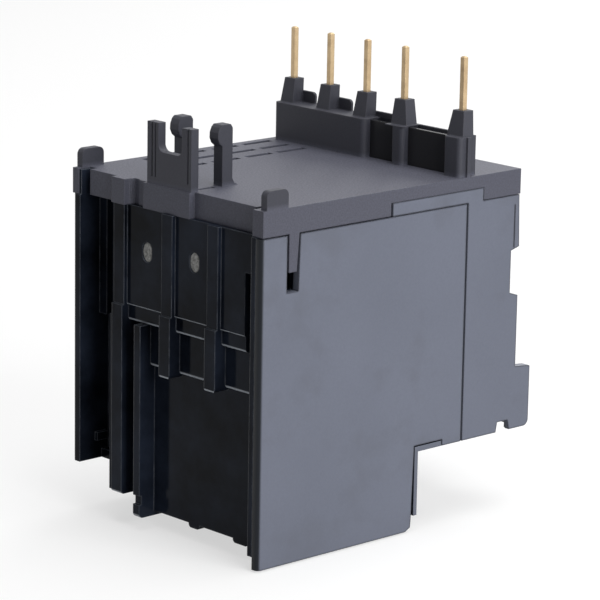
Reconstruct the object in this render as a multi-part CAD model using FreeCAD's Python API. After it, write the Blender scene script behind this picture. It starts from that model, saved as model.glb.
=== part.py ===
import FreeCAD, Part
import math
import os

# Thermal overload relay that hangs under a contactor by five contact pins.
# Millimetres.  X runs across the poles, Z up, and the front faces -Y.
# Depths are measured forwards from the rear plane: depth 44 lies at y = -44.
# Exported shapes are moved so that the origin is at the foot of the pin row.

V = FreeCAD.Vector

# ---- overall sizes
width = 45.0
wall_top = 52.2
cap_rise = 4.1
casing_depth = 44.1
front_length = 15.6
seam = 0.2
fit = 0.05
slip = 0.1

# ---- side cover and casing walls
cover_wall = 1.4
rim_wall = 1.0
far_wall = 1.8
floor_wall = 1.5
edge_round = 0.8
tab_rise = 2.0
tab_length = 20.2
tab_reach = 3.5
tab_seam = 0.4
slot_back = 5.2
slot_front = 7.9
slot_bottom = 43.1
leg_set_back = 9.8
leg_rim = 0.95
rim_bottom = 2.0
leg_bottom = 2.6
leg_far_bottom = 7.9
shelf_z = 12.95
cover_step_rise = 1.05
cover_step_length = 4.4
lug_back = 3.1
upstand = 4.0

# ---- stepped rear wall, posts and partition
wall_back = 4.6
panel_depth = 1.1
panel_z = 36.0
strip_depth = 1.4
strip_z = 33.4
pocket_depth = 2.2
pocket_z = 26.6
skirt_depth = 3.1
channel_depth = 6.0
post_width = 2.5
post_step = 0.4
post_bottom = 26.0
post_xs = (-12.1, -1.35)
guide_x = 10.2
guide_bottom = 4.8
guide_edge = 13.75
partition_x = 5.7
partition_wall = 1.5
partition_bottom = 1.8

# ---- poles
pole_pitch = 8.75
pole_x = 2.35
pin_size = 0.85
pin_offset = 1.2
pin_length = 8.6
post_rise = 10.3
socket_rise = 6.35
screen_x0 = -18.4
screen_x1 = -9.1
screen_seat = 0.4
vent_width = 1.2
coil_pin_x = -19.6
aux_pin_x = 19.85
divider_wall = 0.9
divider_gap = 2.3
divider_bottom = 14.0
bar_drop = 3.0
bar_thick = 1.2
bar_width = 3.0
bar_end = 1.0

# ---- bimetals, heaters and sliders
strip_thick = 0.9
strip_back = 21.0
strip_width = 6.0
strip_bottom = 10.0
sleeve_wall = 0.3
wire = 0.7
turn_height = 1.3
turn_pitch = 2.4
turns = 9
heater_drop = 8.2
slider_z = 10.7
slider_thick = 1.1
slider_gap = 1.6
slider_width = 2.8
finger_width = 1.5
differential_gap = 0.25

# ---- compensation lever
lever_x = -15.2
lever_z = 38.0
lever_strip = 0.8
lever_bottom = 9.6
shaft_r = 1.0

# ---- front housing
front_wall = 1.5
lip_rise = 10.45
recess_set_back = 5.3
pad_rise = 1.85
pad_height = 12.0
block_height = 8.7
block_length = 5.6
sill_length = 8.4

# ---- terminals
main_pitch = 12.0
main_rise = 5.85
main_tab = 1.2
main_tab_width = 8.8
main_head_r = 2.8
main_shank_r = 1.7
aux_pitch = 7.4
aux_rise = 4.1
aux_tab = 0.8
aux_tab_width = 6.2
aux_head_r = 2.1
aux_shank_r = 1.2
pocket_width = 5.8

# ---- control panel
panel_x0 = -12.4
panel_x1 = 19.6
panel_sill = 1.0
panel_height = 17.8
panel_rise = 5.75
panel_wall = 1.4
button_x = -6.6
reset_z = 37.0
reset_r = 3.3
stop_z = 29.2
stop_r = 2.5
stem_r = 1.4
dial_x = 9.4
dial_z = 34.0
dial_r = 5.2
test_x = 4.0
test_z = 27.4
test_travel = 1.2
flag_x = -0.5
flag_z = 33.0
hinge_out = 1.2
hinge_rise = 1.8
cover_x0 = 1.8
cover_x1 = 17.8
cover_height = 15.2

# ---- trip mechanism
plate_gap = 0.4
plate_wall = 1.1
layer_gap = 0.4
trip_x = -10.4
trip_z = 40.5
trip_thick = 1.3
pivot_r = 0.8
carrier_wall = 1.2
setting_x = 5.6
setting_z = 29.4
cam_gap = 2.2
cam_thick = 1.3
cam_r = 2.4
cam_rise = 0.19

# ---- places that follow from the sizes above
half = width / 2
cap_top = wall_top + cap_rise
body_depth = casing_depth + front_length
tab_front = casing_depth + tab_reach
tab_back = tab_front - tab_length
leg_depth = casing_depth - leg_set_back
cover_leg_depth = leg_depth - leg_rim
cover_step_depth = casing_depth - cover_step_length
cover_step_z = shelf_z + cover_step_rise
divider_depth = leg_depth - divider_gap
strip_front = strip_back + strip_width
slider_back = strip_front + slider_gap
slider_front = slider_back + slider_width
bar_back = strip_back - bar_end
bar_z = wall_top - bar_drop
bar_top = bar_z + bar_thick
heater_top = bar_z - heater_drop
pin_depth = casing_depth + pin_offset
post_top = cap_top + post_rise
pin_top = post_top + pin_length
socket_top = cap_top + socket_rise
socket_back = casing_depth - 1.9
socket_front = casing_depth + 2.5
screen_back = casing_depth - 0.4
screen_front = casing_depth + 0.3
bay_floor = shelf_z + lip_rise
recess_depth = body_depth - recess_set_back
pad_depth = recess_depth + pad_rise
pad_top = bay_floor + pad_height
block_z = wall_top - block_height
block_depth = pad_depth
block_back = block_depth - block_length
cap_front = block_depth - 0.1
sill_back = body_depth - sill_length
main_z = shelf_z + main_rise
aux_z = block_z + aux_rise
panel_z0 = bay_floor + panel_sill
panel_z1 = panel_z0 + panel_height
panel_front = pad_depth + panel_rise
panel_inside = panel_front - panel_wall
hinge_depth = panel_front + hinge_out
hinge_z = panel_z0 + hinge_rise
cover_top = hinge_z + cover_height
plate_back = casing_depth + plate_gap
plate_front = plate_back + plate_wall
trip_back = plate_front + layer_gap
trip_front = trip_back + trip_thick
carrier_back = trip_front + layer_gap - slip
carrier_front = carrier_back + carrier_wall
cam_back = carrier_front + cam_gap
cam_front = cam_back + cam_thick
cover_in = -half + cover_wall
near_in = cover_in + rim_wall
far_in = half - far_wall
poles = [pole_x - pole_pitch, pole_x, pole_x + pole_pitch]
origin = V(0, -pin_depth, post_top)


def box(x0, x1, d0, d1, z0, z1):
    """A box between two x values, two depths and two heights."""
    return Part.makeBox(x1 - x0, d1 - d0, z1 - z0, V(x0, -d1, z0))


def outline(points, place):
    """A closed wire; a point may carry a corner radius as its third value."""
    pts = [place(p[0], p[1]) for p in points]
    corners = []
    for i, p in enumerate(pts):
        if len(points[i]) < 3:
            corners.append((p, None, p))
            continue
        r = points[i][2]
        a = (pts[i - 1] - p).normalize()
        b = (pts[(i + 1) % len(pts)] - p).normalize()
        half_angle = a.getAngle(b) / 2
        centre = p + (a + b).normalize() * (r / math.sin(half_angle))
        reach = r / math.tan(half_angle)
        corners.append((p + a * reach, centre + (p - centre).normalize() * r, p + b * reach))
    edges = []
    for i, (start, mid, end) in enumerate(corners):
        if mid:
            edges.append(Part.Arc(start, mid, end).toShape())
        after = corners[(i + 1) % len(corners)][0]
        if (after - end).Length > 1e-6:
            edges.append(Part.makeLine(end, after))
    return Part.Wire(edges)


def prism_x(points, x0, x1):
    """A (depth, z) outline pulled along X."""
    return Part.Face(outline(points, lambda d, z: V(x0, -d, z))).extrude(V(x1 - x0, 0, 0))


def prism_y(points, d0, d1):
    """An (x, z) outline pulled forwards."""
    return Part.Face(outline(points, lambda x, z: V(x, -d0, z))).extrude(V(0, d0 - d1, 0))


def prism_z(points, z0, z1):
    """An (x, depth) outline pulled up."""
    return Part.Face(outline(points, lambda x, d: V(x, -d, z0))).extrude(V(0, 0, z1 - z0))


def rod_x(d, z, r, x0, x1):
    return Part.makeCylinder(r, x1 - x0, V(x0, -d, z), V(1, 0, 0))


def rod_y(x, z, r, d0, d1):
    return Part.makeCylinder(r, d1 - d0, V(x, -d0, z), V(0, -1, 0))


def join(parts):
    """Fuse and drop the leftover seams."""
    return parts[0].multiFuse(parts[1:]).removeSplitter()


def cut(shape, tools):
    return shape.cut(tools[0].multiFuse(tools[1:]) if len(tools) > 1 else tools[0])


def round_edges(shape, r, pick):
    """Fillet the straight edges whose middle point satisfies pick(x, depth, z, direction)."""
    chosen = []
    for e in shape.Edges:
        a, b = e.Vertexes[0].Point, e.Vertexes[-1].Point
        m = (a + b) * 0.5
        if pick(m.x, -m.y, m.z, b - a):
            chosen.append(e)
    return shape.makeFillet(r, chosen)


def near(a, b):
    return abs(a - b) < 0.02


# ------------------------------------------------------------------ housing

def rear_wall():
    """Stepped rear wall with its snap posts."""
    steps = [(panel_depth, wall_top), (panel_depth, panel_z, 0.25), (strip_depth, panel_z),
             (strip_depth, strip_z, 0.6), (pocket_depth, strip_z), (pocket_depth, pocket_z, 0.7),
             (skirt_depth, pocket_z), (skirt_depth, leg_bottom, 0.8),
             (wall_back, leg_bottom), (wall_back, wall_top)]
    upper = [(panel_depth, wall_top), (panel_depth, panel_z, 0.25), (strip_depth, panel_z),
             (strip_depth, strip_z, 0.6), (wall_back, strip_z), (wall_back, wall_top)]
    guide = [(0, guide_bottom, 0.6), (0, panel_z), (post_step, panel_z), (post_step, wall_top),
             (channel_depth + 0.5, wall_top), (channel_depth + 0.5, guide_bottom)]
    guide_in = guide_x + post_width
    parts = [prism_x(steps, cover_in, partition_x + partition_wall),
             prism_x(upper, partition_x, guide_x + 0.5),
             box(partition_x, guide_x + 0.5, wall_back - 0.4, channel_depth + 1.5, leg_far_bottom, wall_top),
             box(guide_x, half - 0.5, channel_depth, channel_depth + 1.5, leg_far_bottom, wall_top),
             prism_x(guide, guide_x, guide_in),
             box(guide_in - 0.1, guide_edge, 0.5, channel_depth + 0.5, guide_bottom + 0.2, 34.0),
             box(guide_in - 0.1, guide_edge, panel_depth, channel_depth + 0.5, 34.0, wall_top)]
    side = [(0, post_bottom, 0.6), (0, panel_z), (post_step, panel_z), (post_step, wall_top),
            (wall_back - 0.4, wall_top), (wall_back - 0.4, post_bottom)]
    for x in post_xs:
        face = [(x, post_bottom, 0.9), (x + post_width, post_bottom), (x + post_width, wall_top),
                (x, wall_top)]
        parts.append(prism_x(side, x, x + post_width).common(prism_y(face, -0.1, wall_back)))
    return parts


def rear_casing():
    """Black rear shell with the pole chambers."""
    top = wall_top - fit
    front = casing_depth - fit
    far = [(0, leg_far_bottom), (0, top), (front, top), (front, shelf_z),
           (leg_depth, shelf_z), (leg_depth, leg_far_bottom)]
    rim = [(0, rim_bottom), (0, top), (front, top), (front, shelf_z + 0.1),
           (cover_leg_depth, shelf_z + 0.1), (cover_leg_depth, rim_bottom)]
    far_side = prism_x(far, far_in, half)
    far_side = round_edges(far_side, edge_round, lambda x, d, z, v: near(x, half) and near(d, 0))
    parts = [far_side, prism_x(rim, cover_in, near_in)] + rear_wall()
    step_x = partition_x + partition_wall
    parts += [
        prism_x([(0, partition_bottom, 0.8), (0, strip_z), (5.0, strip_z), (5.0, partition_bottom)],
                partition_x, step_x),
        box(partition_x, step_x, skirt_depth, leg_depth, leg_bottom, leg_far_bottom + floor_wall),
        box(cover_in, step_x, skirt_depth, leg_depth, leg_bottom, leg_bottom + floor_wall),
        box(partition_x, half - 0.5, wall_back, leg_depth, leg_far_bottom, leg_far_bottom + floor_wall),
        box(cover_in, step_x, leg_depth - floor_wall, leg_depth, leg_bottom, shelf_z + 0.5),
        box(partition_x, half - 0.5, leg_depth - floor_wall, leg_depth, leg_far_bottom, shelf_z + 0.5),
        box(cover_in, half - 0.5, leg_depth - floor_wall, front, shelf_z, shelf_z + floor_wall),
        box(-half, cover_in + 0.2, cover_leg_depth + seam, leg_depth, leg_bottom - 0.2, cover_step_z - seam),
        box(-half, cover_in + 0.2, cover_leg_depth + seam, cover_step_depth - seam, shelf_z,
            cover_step_z - seam)]
    for x0, x1 in ((-5.4, -2.8), (-16.8, -13.3)):
        foot = [(x0, 1.9, 0.6), (x1, 1.9, 0.6), (x1, leg_bottom + 0.5), (x0, leg_bottom + 0.5)]
        parts.append(prism_y(foot, skirt_depth, wall_back))
    parts.append(box(far_in, 21.15, 0.3, 2.3, top - 1.0, top + upstand))
    parts.append(box(-20.05, -19.2, panel_depth, lug_back, top - 1.0, top + upstand))
    rib = box(18.9, far_in + 0.3, 4.1, channel_depth + 0.2, 32.2, top)
    parts.append(rib)
    parts.append(box(20.1, far_in + 0.1, 3.2, 5.4, 11.0, 12.4))
    for k in range(4):
        x = poles[0] + (k - 0.5) * pole_pitch
        parts.append(box(x - divider_wall / 2, x + divider_wall / 2, wall_back - 0.2, divider_depth,
                         divider_bottom, bar_z - fit))
    for d0, d1 in ((front - 1.6, front), (divider_depth - 2.4, divider_depth - 1.0)):
        parts.append(box(near_in - 0.2, far_in + 0.2, d0, d1, 47.4, bar_z - fit))
    parts.append(box(poles[0] - pole_pitch / 2, poles[2], slider_front - 0.4, leg_depth - floor_wall + 0.2,
                     leg_far_bottom + 1.4, slider_z - fit))
    parts.append(box(near_in - 0.2, poles[0] - pole_pitch / 2, strip_back - 3.5,
                     strip_back - 2.0, 34.0, 42.0))
    body = join(parts)
    marks = []
    for x, z in ((5.4, 45.2), (-5.85, 45.5)):
        oval = [(x - 1.15, z - 1.6, 1.1), (x + 1.15, z - 1.6, 1.1), (x + 1.15, z + 1.6, 1.1),
                (x - 1.15, z + 1.6, 1.1)]
        marks.append(prism_y(oval, panel_depth - 0.2, panel_depth + 0.2))
    holes = [box(cover_in - 0.1, near_in + 0.1, slot_front + 1.1, casing_depth - 3.6, 16.0, 45.0),
             box(cover_in - 0.1, near_in + 0.1, slot_back, slot_front, slot_bottom, top - 1.5),
             box(-20.1, -17.6, 0.5, 2.6, 32.0, 46.0),
             box(21.1, half + 0.1, slot_back, slot_front, slot_bottom, top + 0.1),
             rod_y(lever_x, lever_z, shaft_r + slip / 2, strip_back - 3.1, strip_back - 1.8),
             box(partition_x - 0.1, step_x + 0.1, -0.1, 0.5, 4.0, 5.5)]
    return cut(body, marks + holes)


def side_cover():
    """Near side cover with the slot for the cap tongue."""
    top = wall_top
    front = casing_depth - seam
    side = [(0, 0), (0, top - seam), (slot_back, top - seam), (slot_back, slot_bottom),
               (slot_front - 0.3, slot_bottom), (slot_front, top - seam), (front, top - seam),
               (front, shelf_z), (cover_step_depth, shelf_z),
               (cover_step_depth, cover_step_z), (cover_leg_depth, cover_step_z),
               (cover_leg_depth, 13.0), (cover_leg_depth - 0.35, 1.8), (cover_leg_depth - 0.45, 0.6),
               (cover_leg_depth - 1.55, 0)]
    plate = prism_x(side, -half, cover_in - fit)
    return round_edges(plate, edge_round, lambda x, d, z, v: near(x, -half) and near(d, 0))


def cap_outline():
    """Rear edge of the cap, stepped over the posts, then its plain sides and front."""
    rear = [(-half, 0.2), (-20.1, 0.2), (-20.1, 3.2), (-19.0, 3.2), (-19.0, 1.9), (-4.9, 1.9),
            (-4.9, 0.8), (6.15, 0.8), (6.15, 1.5), (8.0, 1.5), (8.15, 1.95), (9.35, 1.95),
            (9.75, 0.9), (9.75, 0.0), (12.9, 0.0), (12.9, 1.0), (19.4, 1.0), (19.4, 2.4),
            (21.2, 2.4), (21.2, 0.0), (half, 0.0)]
    return rear + [(half, cap_front), (-half, cap_front)]


def fork():
    """Upright fork at the rear edge of the cap."""
    z1 = cap_top + 9.8
    floor = cap_top + 5.3
    plate = box(-4.9, 5.5, 1.1, 2.6, cap_top - 0.2, z1)
    gap = prism_y([(-2.7, floor, 1.2), (2.9, floor, 1.2), (2.9, z1 + 0.1), (-2.7, z1 + 0.1)], 1.0, 2.7)
    grooves = [box(x, x + 0.35, 1.0, 1.35, cap_top + 1.2, z1 + 0.1) for x in (3.4, 4.2, -4.3)]
    return cut(plate, [gap] + grooves)


def hook(x):
    """Snap hook with a rounded head facing the rear."""
    side = [(8.1, cap_top - 0.2), (8.1, 62.6), (7.5, 63.1), (7.15, 63.9), (7.2, 64.8), (7.55, 65.6),
            (8.0, 66.0), (9.8, 66.0), (10.2, 65.4), (10.2, cap_top + 1.2), (10.6, cap_top + 0.4),
            (11.4, cap_top), (11.4, cap_top - 0.2)]
    return prism_x(side, x, x + 2.0)


def post(x, base, shift):
    """Tapered post around one contact pin; base is its lower width."""
    def ring(cx, w, d0, d1, z):
        pts = [V(cx - w / 2, -d0, z), V(cx + w / 2, -d0, z), V(cx + w / 2, -d1, z), V(cx - w / 2, -d1, z)]
        return Part.makePolygon(pts + [pts[0]])
    low = ring(x + shift, base, pin_depth - 1.7, pin_depth + 0.7, socket_top - 0.15)
    high = ring(x, 2.4, pin_depth - 1.0, pin_depth + 1.1, post_top)
    return Part.makeLoft([low, high], True, True)


def pin_xs():
    return [coil_pin_x] + poles + [aux_pin_x]


def top_cap():
    """Matt cap carrying fork, hooks, vents and the pin socket."""
    base = wall_top
    top = cap_top
    shell = prism_z(cap_outline(), base, top)
    shell = cut(shell, [box(1.3 - half, half - 1.3, wall_back, cap_front - 1.3, base - 0.1, top - 1.4),
                        box(-half - 0.1, cover_in, tab_back - tab_seam, tab_front + 0.1, base - 0.1,
                            base + tab_rise + fit)])
    parts = [shell, fork(), hook(-4.2), hook(5.2)]
    for side, x in ((-1, -half), (1, half - 1.3)):
        tab = box(x, x + 1.3, 0.9, 5.3, top - 0.2, top + 3.0)
        parts.append(round_edges(tab, 1.0, lambda px, d, z, v: near(z, top + 3.0) and abs(v.x) > 0.5))
        tongue = [(slot_back + 0.4, base + 0.5), (slot_back + 0.4, slot_bottom + 3.1),
                  (slot_front - 0.7, slot_bottom + 3.1), (slot_front - 0.2, base + 0.5)]
        parts.append(prism_x(tongue, x, x + 1.25) if side < 0 else prism_x(tongue, x + 0.05, x + 1.3))
    return cut(join(parts + socket()), cap_cuts())


def socket():
    """Pin socket: block, columns, walls, posts and fins."""
    z0 = cap_top - 0.2
    d0 = socket_back
    d1 = socket_front
    block = box(-0.2, 21.4, d0, d1, z0, socket_top)
    parts = [round_edges(block, 0.9, lambda px, d, z, v: near(d, d0) and abs(v.z) > 1),
             box(screen_x0, 0, d1 - 0.5, d1, z0, socket_top)]
    for x0, x1, depth in ((screen_x1, -6.5, screen_back), (-22.1, screen_x0, screen_front)):
        column = box(x0, x1, d0, depth, z0, socket_top)
        parts.append(round_edges(column, 0.8, lambda px, d, z, v: near(d, d0) and abs(v.z) > 1))
    parts += [box(screen_x1, -5.1, d0, d1 - 0.2, socket_top - 0.15, socket_top),
              box(screen_x1 + 0.3, -5.2, screen_front, d1 - 0.2, z0, socket_top),
              box(-21.4, -17.8, screen_front, d1 - 0.2, z0, socket_top),
              box(-21.4, screen_x0 + 0.1, d1 - 0.5, d1, z0, socket_top),
              box(-half, -21.9, screen_back, screen_front, z0, socket_top)]
    for x, base, shift in zip(pin_xs(), (3.6, 3.6, 3.0, 3.0, 3.0), (0, -0.5, 0, 0, 0)):
        parts.append(post(x, base, shift))
    for x, reach, rise in zip(pin_xs()[2:], (6.0, 4.3, 4.3), (0.8, 1.85, 1.85)):
        z = socket_top + rise
        fin = [(x - reach, socket_top - 0.2), (x, socket_top - 0.2), (x, z), (x - reach, z, 0.7)]
        parts.append(prism_y(fin, d1 - 0.55, d1 - 0.05))
    return parts


def cap_cuts():
    """Pin holes, vents and thin grooves of the cap."""
    top = cap_top
    cuts = [box(x - pin_size / 2 - fit, x + pin_size / 2 + fit, pin_depth - pin_size / 2 - fit,
                pin_depth + pin_size / 2 + fit, wall_top, post_top + 1) for x in pin_xs()]
    for x in (20.4, 16.1, 12.0):
        for back, front in ((9.6, 3.5), (16.4, 11.0), (23.8, 18.1), (31.1, 25.3)):
            cuts.append(box(x - vent_width / 2, x + vent_width / 2, casing_depth - back,
                            casing_depth - front, top - 2, top + 0.1))
    cuts.append(box(-4.0, -3.2, 3.7, 6.95, top - 2, top + 0.1))
    cuts.append(box(screen_x0, -0.2, screen_back, screen_front, top - screen_seat, top + fit))
    for x in pin_xs()[3:]:
        cuts.append(box(x - 1.0, x - 0.7, pin_depth - 0.4, pin_depth + 0.4, post_top - 1, post_top + 0.1))
    return cuts


def socket_screen():
    """Smooth screen that stands in a groove of the cap between the columns of the socket."""
    return box(screen_x0 + fit, -0.2 - fit, screen_back + fit, screen_front - fit,
               cap_top - screen_seat + fit, socket_top - 0.2)


def front_side():
    """Side outline of the front housing."""
    back = casing_depth + seam / 2
    top = wall_top - 0.1
    return [(back, top), (tab_front, top), (block_depth - 0.3, top), (block_depth, block_z),
            (recess_depth, block_z - 0.5), (recess_depth, pad_top + 0.6), (pad_depth, pad_top),
            (pad_depth, bay_floor), (body_depth, bay_floor - 0.3, 0.3), (body_depth, shelf_z, 1.1),
            (55.2, shelf_z), (54.8, 14.6), (52.4, 14.6), (52.1, shelf_z), (back, shelf_z)]


def front_housing():
    """Front block: terminal row above, control bay in the middle, main terminals below."""
    back = casing_depth + fit
    inner = half - front_wall
    parts = [prism_x(front_side(), -half, -inner), prism_x(front_side(), inner, half)]
    upper = [(block_back, wall_top - 0.1), (block_depth - 0.3, wall_top - 0.1), (block_depth, block_z), (block_back, block_z)]
    lower = [(sill_back, bay_floor), (pad_depth, bay_floor), (body_depth, bay_floor - 0.3, 0.3),
             (body_depth, shelf_z, 1.1), (sill_back, shelf_z)]
    parts += [prism_x(upper, -inner - 0.5, inner + 0.5),
              box(-half, cover_in - fit, tab_back, tab_front, wall_top - 0.1, wall_top + tab_rise),
              box(-inner - 0.5, inner + 0.5, tab_front, block_back + 0.2, 50.7, wall_top - 0.1),
              prism_x(lower, -inner - 0.5 + 4.0, inner + 0.5),
              box(-inner - 0.5, inner + 0.5, back, 52.0, bay_floor - front_wall, bay_floor),
              box(-inner - 0.5, inner + 0.5, back, 51.5, shelf_z, shelf_z + front_wall),
              box(-inner - 0.5, inner + 0.5, sill_back, pad_depth, bay_floor - front_wall, bay_floor),
              box(-inner - 0.5, -inner + 4.5, 57.2, 58.6, shelf_z + 0.2, bay_floor - 0.5),
              box(-inner - 0.5, inner + 0.5, recess_depth - front_wall, recess_depth, pad_top - 1.0,
                  block_z + 0.2),
              box(-inner - 0.5, inner + 0.5, pad_depth - front_wall, pad_depth, bay_floor - 0.2, pad_top),
              box(-inner - 0.5, inner + 0.5, recess_depth - 0.5, pad_depth, pad_top - front_wall, pad_top)]
    body = join(parts)
    cuts = []
    for k in range(6):
        x = (k - 2.5) * aux_pitch
        cuts.append(box(x - pocket_width / 2, x + pocket_width / 2, block_back - 0.1, block_depth + 0.1,
                        block_z + 0.9, 50.7))
        cuts.append(box(x - pocket_width / 2, x + pocket_width / 2, recess_depth + 0.1, block_depth + 0.1,
                        block_z - 0.1, block_z + 1.0))
    for k in range(3):
        x = (k - 1) * main_pitch
        cuts.append(box(x - 4.6, x + 4.6, sill_back - 0.1, 58.2, shelf_z + front_wall, bay_floor - front_wall))
        cuts.append(box(x - 4.2, x + 4.2, 52.6, 57.4, shelf_z - 0.1, shelf_z + 2))
        cuts.append(rod_y(x, main_z, 3.1, 58.0, body_depth + 0.1))
    window = [(-3.2, 25.6), (18.4, 25.6), (18.4, 41.0), (-3.2, 41.0)]
    cuts.append(prism_y(window, 52.0, 57.0))
    cuts.append(rod_y(button_x, reset_z, stem_r + slip, 52.0, 55.0))
    cuts.append(rod_y(button_x, reset_z, 2.6, recess_depth, 57.0))
    cuts.append(rod_y(button_x, stop_z, stem_r + slip, 54.0, 57.0))
    cuts.append(box(-half - 0.1, 0.2 - half, block_depth - 1.3, block_depth - 1.15, block_z, 50.5))
    cuts.append(box(0.9 - half, 0.1 - inner, 51.9, 55.6, shelf_z - 0.1, 14.9))
    return cut(body, cuts)


def front_cover():
    """Raised control panel over the bay."""
    hood = box(panel_x0, panel_x1, recess_depth + fit, panel_front, panel_z0, panel_z1)
    hood = round_edges(hood, 1.0, lambda x, d, z, v: near(d, panel_front) or (
        abs(v.y) > 3 and (near(x, panel_x0) or near(x, panel_x1))))
    w = panel_wall
    cuts = [box(panel_x0 + w, panel_x1 - w, recess_depth, panel_front - w, panel_z0 + w, panel_z1 - w),
            box(panel_x0 - 0.1, panel_x1 + 0.1, recess_depth, pad_depth + fit, panel_z0 - 0.1,
                pad_top + fit),
            rod_y(button_x, reset_z, reset_r + slip, 60.0, 62.1),
            rod_y(button_x, stop_z, stop_r + slip, 60.0, 62.1),
            rod_y(dial_x, dial_z, dial_r + slip, 60.0, 62.1),
            box(flag_x - 1.1, flag_x + 1.1, 60.0, 62.1, flag_z - 1.8, flag_z + 1.8),
            box(test_x - 0.9 - slip, test_x + 0.9 + test_travel + slip, 60.0, 62.1, test_z - 0.8 - slip,
                test_z + 0.8 + slip)]
    body = cut(hood, cuts)
    ears = []
    for x0, x1 in ((cover_x0 - 1.4, cover_x0 - 0.2), (cover_x1 + 0.2, cover_x1 + 1.4)):
        ears.append(box(x0, x1, panel_front - 0.2, hinge_depth + 0.9, hinge_z - 0.9, hinge_z + 0.9))
    body = join([body] + ears)
    return cut(body, [rod_x(hinge_depth, hinge_z, 0.55 + fit, cover_x0 - 2, cover_x1 + 2)])


def mechanism_plate():
    """Inner plate that carries the pivots and the carrier guides."""
    z0 = bay_floor + fit
    front = plate_back + plate_wall
    parts = [box(-20.9, 20.9, plate_back, front, z0, 46.4),
             box(-3.0, -1.6, front - 0.1, 48.8, 33.5, 37.4),
             box(2.6, 4.0, front - 0.1, 48.8, 33.5, 37.4)]
    body = join(parts)
    cuts = [rod_y(lever_x, lever_z, shaft_r + fit, plate_back - 1, front + 1),
            rod_y(trip_x, trip_z, pivot_r + 0.01, plate_back + 0.2, front + 1),
            rod_y(setting_x, setting_z, pivot_r + 0.01, plate_back + 0.2, front + 1)]
    return cut(body, cuts)


# --------------------------------------------------------------- conductors

def main_conductor(x):
    """Contact pin and the bar that carries it back over its pole."""
    h = pin_size / 2
    pin = box(x - h, x + h, pin_depth - h, pin_depth + h, bar_z, pin_top)
    bar = box(x - bar_width / 2, x + bar_width / 2, bar_back, pin_depth + h, bar_z, bar_z + bar_thick)
    return tip_pin(join([pin, bar]))


def tip_pin(shape):
    """Break the four edges at the pin's tip."""
    chosen = [e for e in shape.Edges if all(near(v.Point.z, pin_top) for v in e.Vertexes)]
    return shape.makeChamfer(0.2, chosen)


def side_conductor(x, tab_x):
    """Contact pin that leads straight to an auxiliary terminal tab."""
    h = pin_size / 2
    d1 = block_back - fit
    x0 = min(x, tab_x) - 0.9
    x1 = max(x, tab_x) + 0.9
    outer = 2.3
    inner = 2.9
    t0, t1 = (tab_x - inner, tab_x + outer) if tab_x > 0 else (tab_x - outer, tab_x + inner)
    pin = box(x - h, x + h, pin_depth - h, pin_depth + h, bar_z, pin_top)
    bar = box(x0, x1, pin_depth - h, d1, bar_z, 50.3)
    tab = box(t0, t1, d1 - aux_tab, d1, 44.5, 50.3)
    body = join([pin, bar, tab])
    body = body.cut(rod_y(tab_x, aux_z, aux_shank_r + fit, 48, 52))
    return tip_pin(body)


def load_bar(k):
    """Bar from the foot of one pole to its terminal tab."""
    x = poles[k]
    t = (k - 1) * main_pitch
    w = bar_width / 2
    z0 = 16.0
    z1 = z0 + bar_thick
    tab_front_depth = sill_back - fit
    x0 = min(x, t) - w
    x1 = max(x, t) + w
    parts = [box(x - w, x + w, slider_back + 0.1, 39.0, z0, z1),
             box(x0, x1, 36.5, 39.5, z0, z1),
             box(t - w, t + w, 39.0, tab_front_depth, z0, z1),
             box(x - w, x + w, slider_back + 0.1, slider_back + 0.9, z0, 20.5),
             box(t - main_tab_width / 2, t + main_tab_width / 2, tab_front_depth - main_tab,
                 tab_front_depth, 15.0, 21.6)]
    body = join(parts)
    return body.cut(rod_y(t, main_z, main_shank_r + fit, 48, 53))


def slotted_screw(x, z, head_r, shank_r, front, head, length):
    """Pan screw with a cross slot, head towards the front."""
    body = join([rod_y(x, z, head_r, front - head, front), rod_y(x, z, shank_r, front - head - length,
                                                               front - head + 0.1)])
    w = head_r * 0.22
    deep = head * 0.55
    cross = [box(x - head_r * 0.72, x + head_r * 0.72, front - deep, front + 0.1, z - w, z + w),
             box(x - w, x + w, front - deep, front + 0.1, z - head_r * 0.72, z + head_r * 0.72)]
    return cut(body, cross)


def main_screws():
    return Part.makeCompound([slotted_screw((k - 1) * main_pitch, main_z, main_head_r, main_shank_r,
                                            57.4, 2.2, 6.6) for k in range(3)])


def square_washer(x, z, size, hole, d0, d1):
    plate = box(x - size / 2, x + size / 2, d0, d1, z - size / 2, z + size / 2)
    return plate.cut(rod_y(x, z, hole, d0 - 1, d1 + 1))


def main_washers():
    return Part.makeCompound([square_washer((k - 1) * main_pitch, main_z, 5.6, main_shank_r + fit,
                                            54.1, 55.2 - fit) for k in range(3)])


def aux_screws():
    return Part.makeCompound([slotted_screw((k - 2.5) * aux_pitch, aux_z, aux_head_r, aux_shank_r,
                                            55.2, 1.7, 4.6) for k in range(6)])


def aux_washers():
    return Part.makeCompound([square_washer((k - 2.5) * aux_pitch, aux_z, 4.8, aux_shank_r + fit,
                                            52.7, 53.5 - fit) for k in range(6)])


def contact_terminal(tab_x, side, arm_z):
    """Terminal tab with its fixed-contact arm; side points towards the bridge."""
    d1 = block_back - fit
    w = aux_tab_width / 2
    outer = tab_x - side * 0.6
    link = sorted((outer, outer + side * 1.0))
    arm = sorted((outer, outer + side * 2.6))
    parts = [box(tab_x - w, tab_x + w, d1 - aux_tab, d1, 44.5, 50.3),
             box(link[0], link[1], d1 - aux_tab, d1, arm_z, 44.6),
             box(arm[0], arm[1], 49.0, d1, arm_z, arm_z + 0.8)]
    return join(parts).cut(rod_y(tab_x, aux_z, aux_shank_r + fit, 48, 52))


# ------------------------------------------------------------ moving insides

def bimetal(x):
    """Hanging bimetal strip of one pole."""
    h = strip_thick / 2
    return box(x - h, x + h, strip_back, strip_front, strip_bottom, bar_z - fit)


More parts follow.
